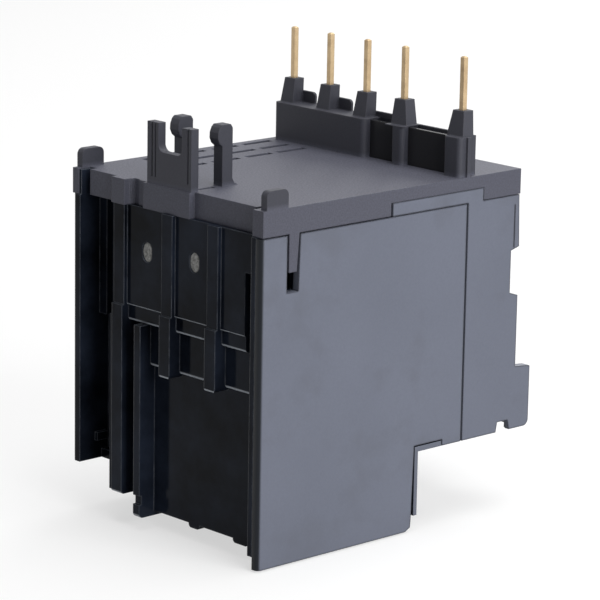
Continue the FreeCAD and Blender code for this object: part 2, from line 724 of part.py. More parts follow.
def heater_sleeve(x):
    """Insulating sleeve between strip and winding."""
    h = strip_thick / 2 + fit / 2
    o = h + sleeve_wall
    z0 = heater_top - (turns - 1) * turn_pitch - turn_height - 0.8
    tube = box(x - o, x + o, strip_back - sleeve_wall - fit, strip_front + sleeve_wall + fit, z0,
               heater_top + 0.8)
    return tube.cut(box(x - h, x + h, strip_back - fit / 2, strip_front + fit / 2, z0 - 1, heater_top + 2))


def heater(x):
    """Heater winding: flat rings around the sleeve, joined turn to turn at the front."""
    hx = strip_thick / 2 + sleeve_wall + fit
    d0 = strip_back - sleeve_wall - fit * 1.6
    d1 = strip_front + sleeve_wall + fit * 1.6
    low = heater_top - (turns - 1) * turn_pitch - turn_height
    rings = []
    for k in range(turns):
        z1 = heater_top - k * turn_pitch
        ring = box(x - hx - wire, x + hx + wire, d0 - wire, d1 + wire, z1 - turn_height, z1)
        rings.append(ring.cut(box(x - hx, x + hx, d0, d1, z1 - turn_height - 1, z1 + 1)))
        if k < turns - 1:
            s = 1 if k % 2 else -1
            x0 = x + s * (hx + wire / 2) - wire / 2
            rings.append(box(x0, x0 + wire, d1 - 1.5, d1 + wire, z1 - turn_pitch - 0.1, z1 - turn_height + 0.1))
    rings.append(box(x - 0.5, x + 0.5, d1, d1 + wire, low - 1.4, low + 0.2))
    return join(rings)


def trip_slider():
    """Lower slider: fingers ahead of the strips and a nose at the compensation strip."""
    z0 = slider_z
    z1 = slider_z + slider_thick
    nose_x = lever_x + lever_strip / 2 + slip
    parts = [box(nose_x, poles[2] + 1.0, slider_back, slider_front, z0, z1),
             box(nose_x, nose_x + 2.0, 22.0, slider_back + 0.1, z0, z1)]
    for x in poles:
        face = x - strip_thick / 2 - slip
        parts.append(box(face - finger_width, face, 22.0, slider_back + 0.1, z0, z1))
    return join(parts)


def differential_slider():
    """Upper slider: fingers behind the strips for phase failure."""
    z0 = slider_z + slider_thick + slip
    z1 = z0 + slider_thick
    parts = [box(poles[0] - 2.5, poles[2] + 3.0, slider_back, slider_front, z0, z1)]
    for x in poles:
        face = x + strip_thick / 2 + differential_gap
        parts.append(box(face, face + finger_width, 22.0, slider_back + 0.1, z0, z1))
    return join(parts)


def compensation_lever():
    """Shaft with the clamp for the strip and the finger at its front end."""
    shaft = rod_y(lever_x, lever_z, shaft_r, 18.0, 47.2)
    clamp = box(lever_x - 1.5, lever_x + 1.5, 21.0, 27.0, lever_z - 3.4, lever_z + 1.6)
    finger = [(lever_x - 1.3, lever_z - 1.3), (lever_x + 1.3, lever_z - 1.3), (lever_x + 1.3, 42.8),
              (trip_x - 1.2 - slip, 42.8), (trip_x - 1.2 - slip, 44.2), (lever_x - 1.3, 44.2)]
    body = join([shaft, clamp, prism_y(finger, trip_back, 47.2)])
    h = lever_strip / 2 + 0.01
    return body.cut(box(lever_x - h, lever_x + h, 21.4, 26.6, lever_z - 4, lever_z - 1.2))


def compensation_strip():
    h = lever_strip / 2
    return box(lever_x - h, lever_x + h, 21.5, 26.5, lever_bottom, lever_z - 1.3)


def trip_lever():
    """Bell crank between the compensation lever and the contact carrier."""
    upright = box(trip_x - 1.2, trip_x + 1.2, trip_back, trip_front, trip_z, 44.8)
    hub = rod_y(trip_x, trip_z, 2.0, trip_back, trip_front)
    arm = [(trip_x, trip_z - 1.0), (1.0, 39.9), (1.0, 41.3), (trip_x, trip_z + 1.2)]
    body = join([upright, hub, prism_y(arm, trip_back, trip_front)])
    return body.cut(rod_y(trip_x, trip_z, pivot_r + fit, trip_back - 1, trip_front + 1))


def contact_carrier():
    """Sliding carrier for both contact bridges, with the arm of the flag."""
    d0 = carrier_back
    d1 = carrier_back + carrier_wall
    parts = [box(-1.5, 2.5, d0, d1, 32.0, 41.0),
             box(-9.0, 9.0, d0, d1, 39.7, 41.2),
             box(-8.2, -6.6, d0, d1, 39.7, 43.4),
             box(6.6, 8.2, d0, d1, 39.7, 42.7),
             box(-8.2, -6.6, d1 - 0.1, 50.6, 40.2, 43.4),
             box(6.6, 8.2, d1 - 0.1, 50.6, 40.1, 42.7),
             box(-0.6, 1.6, trip_back, d0 + 0.1, 38.2, 39.75),
             box(flag_x - 0.7, flag_x + 0.7, d1 - 0.1, 59.0, 36.9, 38.3)]
    body = join(parts)
    bridge = 0.6 + 2 * 0.01
    cuts = [box(-9, -6, 48.95, 50.25, 41.5 - 0.01, 41.5 - 0.01 + bridge),
            box(6, 9, 48.95, 50.25, 40.9 - 0.01, 40.9 - 0.01 + bridge)]
    return cut(body, cuts)


def bridge(x, z):
    """Contact bridge with a raised rivet at each end."""
    return box(x - 3.1, x + 3.1, 49.0, 50.2, z, z + 0.6)


def trip_flag():
    """Indicator flag behind the panel window."""
    plate = box(flag_x - 2.0, flag_x + 2.0, 59.0 + 0.02, 60.3, 30.6, 38.4)
    return plate


def pivot_pins():
    """Pivots of the trip lever and the setting lever."""
    trip = rod_y(trip_x, trip_z, pivot_r, plate_back + 0.25, trip_front + 0.2)
    setting = rod_y(setting_x, setting_z, pivot_r, plate_back + 0.25, cam_front + 0.3)
    collar = rod_y(setting_x, setting_z, pivot_r + 0.6, plate_back + plate_wall + 0.02, cam_back - slip)
    return Part.makeCompound([trip, setting.fuse(collar).removeSplitter()])


def setting_lever():
    """Rocker moved by the setting cam."""
    face = dial_x - cam_r - 0.08
    outline = [(face - 2.4, setting_z), (face, setting_z), (face, 35.6), (face - 1.8, 35.6)]
    body = join([rod_y(setting_x, setting_z, 1.8, cam_back, cam_front), prism_y(outline, cam_back, cam_front)])
    body = cut(body, [box(face, face + 1, cam_back - 1, cam_front + 1, 31.0, 36)])
    return body.cut(rod_y(setting_x, setting_z, pivot_r + fit, cam_back - 1, cam_front + 1))


# ------------------------------------------------------------ front controls

def dial():
    """Setting dial with its flange, screwdriver slot and shaft."""
    parts = [rod_y(dial_x, dial_z, dial_r, 60.0, 63.4),
             rod_y(dial_x, dial_z, dial_r + 0.5, 58.9, panel_front - panel_wall - fit),
             rod_y(dial_x, dial_z, 1.6, 50.8, 60.0)]
    body = join(parts)
    slot = box(dial_x - 3.6, dial_x + 3.6, 62.4, 64, dial_z - 0.55, dial_z + 0.55)
    arrow = prism_y([(dial_x - 0.8, dial_z + 3.2), (dial_x + 0.8, dial_z + 3.2), (dial_x, dial_z + 4.8)],
                    62.9, 64)
    return cut(body, [slot, arrow])


def setting_cam():
    """Snail cam on the dial shaft; its radius grows evenly with the angle."""
    pts = []
    for i in range(-16, 17):
        a = math.radians(i * 10)
        r = cam_r + cam_rise * a
        pts.append((dial_x + r * math.cos(math.pi + a), dial_z + r * math.sin(math.pi + a)))
    body = prism_y(pts, cam_back, cam_front)
    return body.cut(rod_y(dial_x, dial_z, 1.6 + 0.01, cam_back - 1, cam_front + 1))


def dial_cover():
    """Clear flap over the dial, hinged at its lower edge."""
    d0 = panel_front + 0.1
    d1 = 65.2
    plate = box(cover_x0, cover_x1, d1 - 1.1, d1, hinge_z - 0.6, cover_top)
    plate = round_edges(plate, 0.9, lambda x, d, z, v: near(z, cover_top) and abs(v.y) > 0.5)
    sides = [box(x, x + 1.0, d0, d1 - 0.3, hinge_z, cover_top - 1.2) for x in (cover_x0, cover_x1 - 1.0)]
    pins = [rod_x(hinge_depth, hinge_z, 0.55, cover_x0 - 1.2, cover_x0 + 0.5),
            rod_x(hinge_depth, hinge_z, 0.55, cover_x1 - 0.5, cover_x1 + 1.2)]
    lip = box(8.2, 11.4, d1 - 0.2, d1 + 0.6, cover_top - 1.6, cover_top - 0.6)
    return join([plate, lip] + sides + pins)


def reset_plunger():
    """Stem and collar under the reset button."""
    collar = rod_y(button_x, reset_z, 3.7, 59.2, panel_front - panel_wall - fit)
    stem = rod_y(button_x, reset_z, stem_r, 52.6, 63.0)
    return join([stem, collar])


def reset_button():
    """Turning reset cap with a pointer slot."""
    cap = rod_y(button_x, reset_z, reset_r, panel_front - panel_wall - fit + 0.1, 65.0)
    cap = cap.makeChamfer(0.35, [e for e in cap.Edges if near(-e.CenterOfMass.y, 65.0) and e.Closed])
    slot = box(button_x - 2.2, button_x + 2.2, 64.0, 66, reset_z - 0.45, reset_z + 0.45)
    return cut(cap, [slot, rod_y(button_x, reset_z, stem_r + 0.02, 60, 63.02)])


def stop_button():
    """Stop button with its stem and collar in one piece."""
    head = rod_y(button_x, stop_z, stop_r, 60.0, 63.6)
    head = head.makeChamfer(0.3, [e for e in head.Edges if near(-e.CenterOfMass.y, 63.6) and e.Closed])
    collar = rod_y(button_x, stop_z, 3.2, 59.4, panel_front - panel_wall - fit)
    return join([head, collar, rod_y(button_x, stop_z, stem_r, 53.4, 60.1)])


def coil_spring(x, z, r, section, d0, d1, coils):
    """Compression spring with a square wire."""
    helix = Part.makeHelix((d1 - d0 - section) / coils, d1 - d0 - section, r)
    s = section / 2
    pts = [V(r - s, 0, -s), V(r + s, 0, -s), V(r + s, 0, s), V(r - s, 0, s)]
    ring = Part.makePolygon(pts + [pts[0]])
    body = Part.Wire(helix).makePipeShell([ring], True, True)
    body.rotate(V(0, 0, 0), V(1, 0, 0), 90)
    body.translate(V(x, -(d0 + s), z))
    return body


def test_slide():
    """Small test slide in its slot."""
    knob = box(test_x - 0.9, test_x + 0.9, 60.3, 62.9, test_z - 0.8, test_z + 0.8)
    plate = box(test_x - 1.6, test_x + 1.6, 59.2, panel_front - panel_wall - fit, test_z - 1.3, test_z + 1.3)
    return join([knob, plate])


# ------------------------------------------------------------------- export

def nodes():
    out = {"rear_casing": rear_casing(), "side_cover": side_cover(), "top_cap": top_cap(),
           "socket_screen": socket_screen(),
           "front_housing": front_housing(), "front_cover": front_cover(),
           "mechanism_plate": mechanism_plate()}
    for k in range(3):
        n = str(k + 1)
        out["main_conductor_" + n] = main_conductor(poles[k])
        out["load_bar_" + n] = load_bar(k)
        out["bimetal_" + n] = bimetal(poles[k])
        out["heater_sleeve_" + n] = heater_sleeve(poles[k])
        out["heater_" + n] = heater(poles[k])
    out["coil_conductor"] = side_conductor(coil_pin_x, -2.5 * aux_pitch)
    out["aux_conductor"] = side_conductor(aux_pin_x, 2.5 * aux_pitch)
    out["main_screws"] = main_screws()
    out["main_washers"] = main_washers()
    out["aux_screws"] = aux_screws()
    out["aux_washers"] = aux_washers()
    out["nc_terminal_1"] = contact_terminal(-1.5 * aux_pitch, 1, 42.15)
    out["nc_terminal_2"] = contact_terminal(-0.5 * aux_pitch, -1, 42.15)
    out["no_terminal_1"] = contact_terminal(0.5 * aux_pitch, 1, 38.82)
    out["no_terminal_2"] = contact_terminal(1.5 * aux_pitch, -1, 38.82)
    out["trip_slider"] = trip_slider()
    out["differential_slider"] = differential_slider()
    out["compensation_lever"] = compensation_lever()
    out["compensation_strip"] = compensation_strip()
    out["trip_lever"] = trip_lever()
    out["pivot_pins"] = pivot_pins()
    out["contact_carrier"] = contact_carrier()
    out["nc_bridge"] = bridge(-aux_pitch, 41.5)
    out["no_bridge"] = bridge(aux_pitch, 40.9)
    out["trip_flag"] = trip_flag()
    out["setting_lever"] = setting_lever()
    out["dial"] = dial()
    out["setting_cam"] = setting_cam()
    out["dial_cover"] = dial_cover()
    out["reset_plunger"] = reset_plunger()
    out["reset_button"] = reset_button()
    out["reset_spring"] = coil_spring(button_x, reset_z, 2.0, 0.35, recess_depth + 0.03, 59.17, 4)
    out["stop_button"] = stop_button()
    out["stop_spring"] = coil_spring(button_x, stop_z, 2.0, 0.3, pad_depth + 0.03, 59.37, 3)
    out["test_slide"] = test_slide()
    return out


os.makedirs("parts", exist_ok=True)
for name, shape in nodes().items():
    if not shape.isValid() or not shape.Solids:
        raise SystemExit(name + " is not a valid solid")
    shape = shape.copy()
    shape.translate(origin * -1)
    shape.exportStep(os.path.join("parts", name + ".step"))
    b = shape.BoundBox
    print(name, len(shape.Solids), "%.2f %.2f %.2f  %.2f %.2f %.2f" % (
        b.XMin, b.YMin, b.ZMin, b.XMax, b.YMax, b.ZMax))
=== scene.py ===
from math import cos, pi, radians, sin

import bmesh
import bpy
import numpy as np
from mathutils import Matrix, Vector


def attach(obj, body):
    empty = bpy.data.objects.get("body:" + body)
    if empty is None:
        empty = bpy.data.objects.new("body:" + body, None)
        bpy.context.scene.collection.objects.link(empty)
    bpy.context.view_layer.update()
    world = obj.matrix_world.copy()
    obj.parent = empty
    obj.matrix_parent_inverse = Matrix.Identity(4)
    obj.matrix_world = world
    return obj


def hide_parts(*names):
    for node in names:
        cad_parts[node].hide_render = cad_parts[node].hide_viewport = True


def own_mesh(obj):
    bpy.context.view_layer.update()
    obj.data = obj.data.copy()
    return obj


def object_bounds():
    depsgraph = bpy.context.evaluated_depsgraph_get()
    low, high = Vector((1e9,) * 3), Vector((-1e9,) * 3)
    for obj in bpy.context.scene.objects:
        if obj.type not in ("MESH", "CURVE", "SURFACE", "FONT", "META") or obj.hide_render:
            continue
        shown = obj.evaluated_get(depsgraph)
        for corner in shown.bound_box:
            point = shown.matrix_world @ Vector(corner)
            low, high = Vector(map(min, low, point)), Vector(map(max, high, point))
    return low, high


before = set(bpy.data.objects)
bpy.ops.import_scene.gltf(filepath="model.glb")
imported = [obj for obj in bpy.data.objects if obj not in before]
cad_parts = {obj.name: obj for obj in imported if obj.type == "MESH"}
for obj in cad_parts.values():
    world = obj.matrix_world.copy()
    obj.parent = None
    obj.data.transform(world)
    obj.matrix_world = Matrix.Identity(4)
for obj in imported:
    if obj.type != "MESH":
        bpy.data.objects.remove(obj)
cad_low, cad_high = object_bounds()

# ---------------------------------------------------------------- the studio
# The relay stands on a plain white sheet in soft light from above and from both sides.
# The sheet is white to the camera and in reflections, and keeps the shadow of the relay.


def seen_directly(t):
    """1 for rays from the eye, off a glossy face or through clear plastic, 0 for all others."""
    path = t.nodes.new("ShaderNodeLightPath")
    total = path.outputs["Is Camera Ray"]
    for label in ("Is Glossy Ray", "Is Transmission Ray"):
        most = t.nodes.new("ShaderNodeMath")
        most.operation = "MAXIMUM"
        t.links.new(total, most.inputs[0])
        t.links.new(path.outputs[label], most.inputs[1])
        total = most.outputs[0]
    return total


def white_sheet_material(tone, glow_level):
    """Pale sheet that keeps the shadow and shows plain white around it, also in reflections."""
    m = bpy.data.materials.new("white_sheet")
    m.use_nodes = True
    t = m.node_tree
    t.nodes.clear()
    out = t.nodes.new("ShaderNodeOutputMaterial")
    cloth = t.nodes.new("ShaderNodeBsdfDiffuse")
    cloth.inputs["Color"].default_value = (tone, tone, tone, 1)
    level = t.nodes.new("ShaderNodeMath")
    level.operation = "MULTIPLY"
    level.inputs[1].default_value = glow_level
    t.links.new(seen_directly(t), level.inputs[0])
    glow = t.nodes.new("ShaderNodeEmission")
    glow.inputs["Color"].default_value = (1, 1, 1, 1)
    t.links.new(level.outputs[0], glow.inputs["Strength"])
    both = t.nodes.new("ShaderNodeAddShader")
    t.links.new(cloth.outputs[0], both.inputs[0])
    t.links.new(glow.outputs[0], both.inputs[1])
    t.links.new(both.outputs[0], out.inputs["Surface"])
    return m


def flat_sheet(name, z, reach):
    """Square of side 2 * reach, level at height z."""
    mesh = bpy.data.meshes.new(name)
    corners = reach * np.array([[-1, -1], [1, -1], [1, 1], [-1, 1]], float)
    mesh.from_pydata([(x, y, z) for x, y in corners], [], [(0, 1, 2, 3)])
    piece = bpy.data.objects.new(name, mesh)
    bpy.context.scene.collection.objects.link(piece)
    return piece


ground = cad_low.z
gap_under_feet = 0.0003
sheet = flat_sheet("studio_sheet", ground - gap_under_feet, reach=3.0)
sheet.data.materials.append(white_sheet_material(tone=0.36, glow_level=0.6))

world = bpy.data.worlds.new("studio_air")
bpy.context.scene.world = world
world.use_nodes = True
air = world.node_tree
air.nodes.clear()
air_out = air.nodes.new("ShaderNodeOutputWorld")
air_light = air.nodes.new("ShaderNodeBackground")
air_light.inputs["Color"].default_value = (1, 1, 1, 1)
air_light.inputs["Strength"].default_value = 0.15
air_white = air.nodes.new("ShaderNodeBackground")
air_white.inputs["Color"].default_value = (1, 1, 1, 1)
air_white.inputs["Strength"].default_value = 1.0
air_mix = air.nodes.new("ShaderNodeMixShader")
air.links.new(seen_directly(air), air_mix.inputs["Fac"])
air.links.new(air_light.outputs[0], air_mix.inputs[1])
air.links.new(air_white.outputs[0], air_mix.inputs[2])
air.links.new(air_mix.outputs[0], air_out.inputs["Surface"])


def soft_lamp(name, place, aim, side_length, watts):
    """Square lamp at place, turned so that it shines at aim."""
    data = bpy.data.lights.new(name, "AREA")
    data.shape = "RECTANGLE"
    data.size = side_length
    data.size_y = side_length
    data.energy = watts
    lamp = bpy.data.objects.new(name, data)
    bpy.context.scene.collection.objects.link(lamp)
    lamp.location = place
    lamp.rotation_mode = "QUATERNION"
    lamp.rotation_quaternion = (Vector(aim) - Vector(place)).to_track_quat("-Z", "Y")


relay_middle = Vector((0, 0.016, -0.03))
soft_lamp("lamp_over", (-0.1, -0.1, 0.8), relay_middle, side_length=0.7, watts=6.0)
soft_lamp("lamp_left", (-0.85, 0.06, 0.25), relay_middle, side_length=0.7, watts=8.8)
soft_lamp("lamp_front", (0.3, -0.8, 0.4), relay_middle, side_length=0.5, watts=4.0)

# ---------------------------------------------------------------- the camera
# A long lens from behind and to the left, a little above the cap, with a slight tilt.

turn = radians(133.019)
dip = radians(13.267)
tilt = radians(1.0)
ahead = Vector((sin(turn) * cos(dip), cos(turn) * cos(dip), -sin(dip)))
side = Vector((cos(turn), -sin(turn), 0))
over = side.cross(ahead)
right = side * cos(tilt) + over * sin(tilt)
upward = over * cos(tilt) - side * sin(tilt)
lens = bpy.data.cameras.new("camera")
lens.lens = 194.33
lens.sensor_width = 36
lens.clip_start = 0.01
lens.clip_end = 20
camera = bpy.data.objects.new("camera", lens)
bpy.context.scene.collection.objects.link(camera)
stand_point = Matrix.Translation(Vector((-0.37297, 0.36436, 0.08809)))
camera.matrix_world = stand_point @ Matrix((right, upward, -ahead)).transposed().to_4x4()
bpy.context.scene.camera = camera
bpy.context.scene.view_settings.view_transform = "Standard"

# ----------------------------------------------------------- the rear casing
# One glossy black moulding, open to the rear, that carries everything else. Its edges carry
# painted highlights in broken patches, its rear-facing lower edges a painted reflection of
# the floor, and the flow of the plastic has left faint darker and paler clouds.


def new_group(name, numbers, colours):
    """Empty shader group with number and colour inputs (name, value) and three outputs."""
    g = bpy.data.node_groups.new(name, "ShaderNodeTree")
    for label, value in numbers:
        s = g.interface.new_socket(label, in_out="INPUT", socket_type="NodeSocketFloat")
        s.default_value = value
    for label, value in colours:
        s = g.interface.new_socket(label, in_out="INPUT", socket_type="NodeSocketColor")
        s.default_value = value
    g.interface.new_socket("Colour", in_out="OUTPUT", socket_type="NodeSocketColor")
    g.interface.new_socket("Roughness", in_out="OUTPUT", socket_type="NodeSocketFloat")
    g.interface.new_socket("Normal", in_out="OUTPUT", socket_type="NodeSocketVector")
    return g


def own_place(t):
    """Place on the piece, in its own metres."""
    return t.nodes.new("ShaderNodeTexCoord").outputs["Object"]


def parts_of(t, vector):
    """The three numbers X, Y and Z of a vector."""
    split = t.nodes.new("ShaderNodeSeparateXYZ")
    t.links.new(vector, split.inputs["Vector"])
    return split.outputs


def noise(t, source, scale, detail, roughness=0.5):
    """Cloudy value around 0.5; the scale is the number of clouds in a metre."""
    n = t.nodes.new("ShaderNodeTexNoise")
    n.inputs["Scale"].default_value = scale
    n.inputs["Detail"].default_value = detail
    n.inputs["Roughness"].default_value = roughness
    t.links.new(source, n.inputs["Vector"])
    return n.outputs["Fac"]


def ramp(t, value, given, wanted):
    """The value's range given, spread over the range wanted and held outside it."""
    n = t.nodes.new("ShaderNodeMapRange")
    limits = zip(("From Min", "From Max", "To Min", "To Max"), (*given, *wanted))
    for label, limit in limits:
        n.inputs[label].default_value = limit
    t.links.new(value, n.inputs["Value"])
    return n.outputs["Result"]


def arithmetic(t, operation, a, b):
    """Sum, difference or product of two values, each from a socket or fixed."""
    n = t.nodes.new("ShaderNodeMath")
    n.operation = operation
    for socket, v in zip(n.inputs, (a, b)):
        if isinstance(v, (int, float)):
            socket.default_value = v
        else:
            t.links.new(v, socket)
    return n.outputs[0]


def tint(t, colour, factor):
    """Colour times a factor that varies over the surface."""
    n = t.nodes.new("ShaderNodeMix")
    n.data_type = "RGBA"
    n.blend_type = "MULTIPLY"
    n.inputs["Factor"].default_value = 1.0
    t.links.new(colour, n.inputs["A"])
    t.links.new(factor, n.inputs["B"])
    return n.outputs["Result"]


def blend(t, mask, colour, other):
    """The colour where the mask is 0, and the other fixed colour where it is 1."""
    n = t.nodes.new("ShaderNodeMix")
    n.data_type = "RGBA"
    t.links.new(mask, n.inputs["Factor"])
    t.links.new(colour, n.inputs["A"])
    n.inputs["B"].default_value = (*other, 1)
    return n.outputs["Result"]


def softened_normal(g, given, samples):
    """Normal of a surface whose edges are rounded by the group's Edge radius."""
    soft = g.nodes.new("ShaderNodeBevel")
    soft.samples = samples
    g.links.new(given.outputs["Edge"], soft.inputs["Radius"])
    return soft.outputs["Normal"]


def relief(g, height, strength, normal, depth):
    """Normal with the height pressed into it, at most this deep."""
    bump = g.nodes.new("ShaderNodeBump")
    bump.inputs["Distance"].default_value = depth
    g.links.new(height, bump.inputs["Height"])
    g.links.new(strength, bump.inputs["Strength"])
    g.links.new(normal, bump.inputs["Normal"])
    return bump.outputs["Normal"]


def moulded_plastic_group():
    """Plastic: colour drifts a few percent, clouds vary the gloss, and grain the surface.

    Edges tells where the softened normal leaves the flat one: 0 on a face, 1 at an edge.
    """
    g = new_group("moulded_plastic",
                  (("Roughness", 0.3), ("Cloud", 0.1), ("Grain Scale", 4000.0),
                   ("Grain", 0.1), ("Edge", 0.0003), ("Speckle", 0.04)),
                  (("Colour", (0.03, 0.03, 0.03, 1)),))
    g.interface.new_socket("Edges", in_out="OUTPUT", socket_type="NodeSocketFloat")
    given = g.nodes.new("NodeGroupInput")
    out = g.nodes.new("NodeGroupOutput")
    place = own_place(g)
    cloud = noise(g, place, scale=38.0, detail=3.0, roughness=0.55)
    grain = g.nodes.new("ShaderNodeTexNoise")
    grain.inputs["Detail"].default_value = 2.0
    g.links.new(place, grain.inputs["Vector"])
    g.links.new(given.outputs["Grain Scale"], grain.inputs["Scale"])

    wave = arithmetic(g, "SUBTRACT", cloud, 0.5)
    wave = arithmetic(g, "MULTIPLY", wave, given.outputs["Cloud"])
    rough = arithmetic(g, "ADD", given.outputs["Roughness"], wave)

    swing = ramp(g, grain.outputs["Fac"], (0.3, 0.7), (-1.0, 1.0))
    speck = arithmetic(g, "MULTIPLY", swing, given.outputs["Speckle"])
    speck = arithmetic(g, "ADD", speck, 1.0)
    drift = arithmetic(g, "MULTIPLY", speck, ramp(g, cloud, (0.3, 0.7), (0.95, 1.05)))

    soft = softened_normal(g, given, samples=6)
    flat = g.nodes.new("ShaderNodeNewGeometry").outputs["Normal"]
    bend = g.nodes.new("ShaderNodeVectorMath")
    bend.operation = "DOT_PRODUCT"
    g.links.new(soft, bend.inputs[0])
    g.links.new(flat, bend.inputs[1])
    edges = ramp(g, bend.outputs["Value"], (0.996, 0.90), (0.0, 1.0))
    normal = relief(g, grain.outputs["Fac"], given.outputs["Grain"], soft, depth=0.00002)

    g.links.new(edges, out.inputs["Edges"])
    g.links.new(tint(g, given.outputs["Colour"], drift), out.inputs["Colour"])
    g.links.new(rough, out.inputs["Roughness"])
    g.links.new(normal, out.inputs["Normal"])
    return g


def finished(name, group, values):
    """New material with this finish group, its values set, and the material's shader."""
    m = bpy.data.materials.new(name)
    m.use_nodes = True
    t = m.node_tree
    shader = t.nodes["Principled BSDF"]
    finish = t.nodes.new("ShaderNodeGroup")
    finish.node_tree = group
    for label, value in values.items():
        finish.inputs[label].default_value = value
    t.links.new(finish.outputs["Colour"], shader.inputs["Base Color"])
    t.links.new(finish.outputs["Roughness"], shader.inputs["Roughness"])
    t.links.new(finish.outputs["Normal"], shader.inputs["Normal"])
    return m, shader


plastic_group = moulded_plastic_group()


def plastic(name, colour, roughness, cloud=0.1, grain_scale=4000.0, grain=0.1, edge=0.0003,
            specular=0.5, speckle=0.03):
    """Moulded plastic finish with its own colour, gloss and grain."""
    m, shader = finished(name, plastic_group, {
        "Colour": (*colour, 1), "Roughness": roughness, "Cloud": cloud,
        "Grain Scale": grain_scale, "Grain": grain, "Edge": edge, "Speckle": speckle})
    shader.inputs["Specular IOR Level"].default_value = specular
    return m


def finish_of(material):
    """The finish group inside a plastic material."""
    return next(n for n in material.node_tree.nodes if n.type == "GROUP")


def recolour(material, colour):
    """Puts another colour on the material's shader."""
    t = material.node_tree
    t.links.new(colour, t.nodes["Principled BSDF"].inputs["Base Color"])
    return material


def dress(material, *nodes):
    """Put the material on the named nodes."""
    for n in nodes:
        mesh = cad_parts[n].data
        mesh.materials.clear()
        mesh.materials.append(material)


def at(x, depth, z):
    """Point of the relay from millimetres across, forward from the rear plane and up."""
    return np.array([x, 45.3 - depth, z - 66.6]) / 1000


def casing_material():
    """Glossy black: stained in clouds, with painted highlights on its edges and a painted floor
    reflection on its lips.

    A lip is an edge that faces the rear and a little down; it is painted pale as a reflection of
    the white floor. The thin outer rim that lies flush with the side cover is dull like it.
    """
    edge_highlight_grey = (0.085, 0.095, 0.115)
    floor_reflection_grey = (0.50, 0.54, 0.60)
    rim_grey = (0.130, 0.140, 0.175)
    rim_starts, rim_full = at(-22.47, 0, 0)[0], at(-22.49, 0, 0)[0]
    m = plastic("casing_gloss_black", (0.0078, 0.0102, 0.0165), roughness=0.12, cloud=0.03,
                grain_scale=2600.0, grain=0.02, specular=0.055)
    t = m.node_tree
    finish = finish_of(m)
    place = own_place(t)
    facing = parts_of(t, t.nodes.new("ShaderNodeNewGeometry").outputs["Normal"])

    clouds = noise(t, place, scale=70.0, detail=4.0, roughness=0.6)
    stains = ramp(t, clouds, (0.35, 0.65), (0.4, 2.2))
    # Painted highlight: the softened edges are painted pale grey in broken patches, where rounded
    # edges would catch the lamp's light.
    highlight_patches = noise(t, place, scale=420.0, detail=3.0, roughness=0.6)
    highlight_patches = ramp(t, highlight_patches, (0.35, 0.6), (0.35, 1.0))
    painted_edge_highlight = arithmetic(t, "MULTIPLY", finish.outputs["Edges"], highlight_patches)
    # Painted reflection: edges facing the rear and a little down are painted pale grey, in place
    # of the white floor they would reflect.
    downwards = ramp(t, facing["Z"], (-0.15, -0.45), (0.0, 1.0))
    rearwards = ramp(t, facing["Y"], (0.2, 0.5), (0.0, 1.0))
    lip = arithmetic(t, "MULTIPLY", downwards, rearwards)
    rim = ramp(t, parts_of(t, place)["X"], (rim_starts, rim_full), (0.0, 1.0))

    colour = tint(t, finish.outputs["Colour"], stains)
    colour = blend(t, painted_edge_highlight, colour, edge_highlight_grey)
    colour = blend(t, lip, colour, floor_reflection_grey)
    colour = blend(t, rim, colour, rim_grey)
    return recolour(m, colour)


dress(casing_material(), "rear_casing")

# -------------------------------------- the side cover and the front housing
# Dull blue-black mouldings: the cover closes the casing's side, the housing closes its front.
# Both are pushed on and meet the casing in narrow seams; their edges carry painted shade. Hands
# leave faint smudges.


def cover_material():
    """Dull blue-black with faint smudges, painted shade along its edges and on its rear edge."""
    smudge_grey = (0.108, 0.116, 0.144)
    edge_shade_grey = (0.030, 0.033, 0.045)
    rear_painted_shade_black = (0.008, 0.010, 0.014)
    rear_shade_ends, rear_shade_full = at(0, 0.6, 0)[1], at(0, 0.3, 0)[1]
    m = plastic("smooth_black", (0.126, 0.137, 0.175), roughness=0.38, grain_scale=3000.0,
                grain=0.06, edge=0.0004, specular=0.2)
    t = m.node_tree
    finish = finish_of(m)
    place = own_place(t)

    hands = noise(t, place, scale=110.0, detail=4.0, roughness=0.55)
    smudge = ramp(t, hands, (0.53, 0.70), (0.0, 0.6))
    # Painted shade: the strip along the rear edge, which faces away from the lamps, is painted
    # near black.
    rear = ramp(t, parts_of(t, place)["Y"], (rear_shade_ends, rear_shade_full), (0.0, 1.0))

    colour = blend(t, smudge, finish.outputs["Colour"], smudge_grey)
    # Painted shade: every softened edge is painted dark, as shade in the seams and on the rounded
    # edges.
    colour = blend(t, finish.outputs["Edges"], colour, edge_shade_grey)
    colour = blend(t, rear, colour, rear_painted_shade_black)
    return recolour(m, colour)


dress(cover_material(), "side_cover", "front_housing")

# ------------------------------------------------------------ the top cap
# Dark grey moulding with a coarse grain, snapped over casing and housing; its fork, hooks and
# posts are smoother and painted darker as shade. The thin screen stands in a groove behind the
# posts.


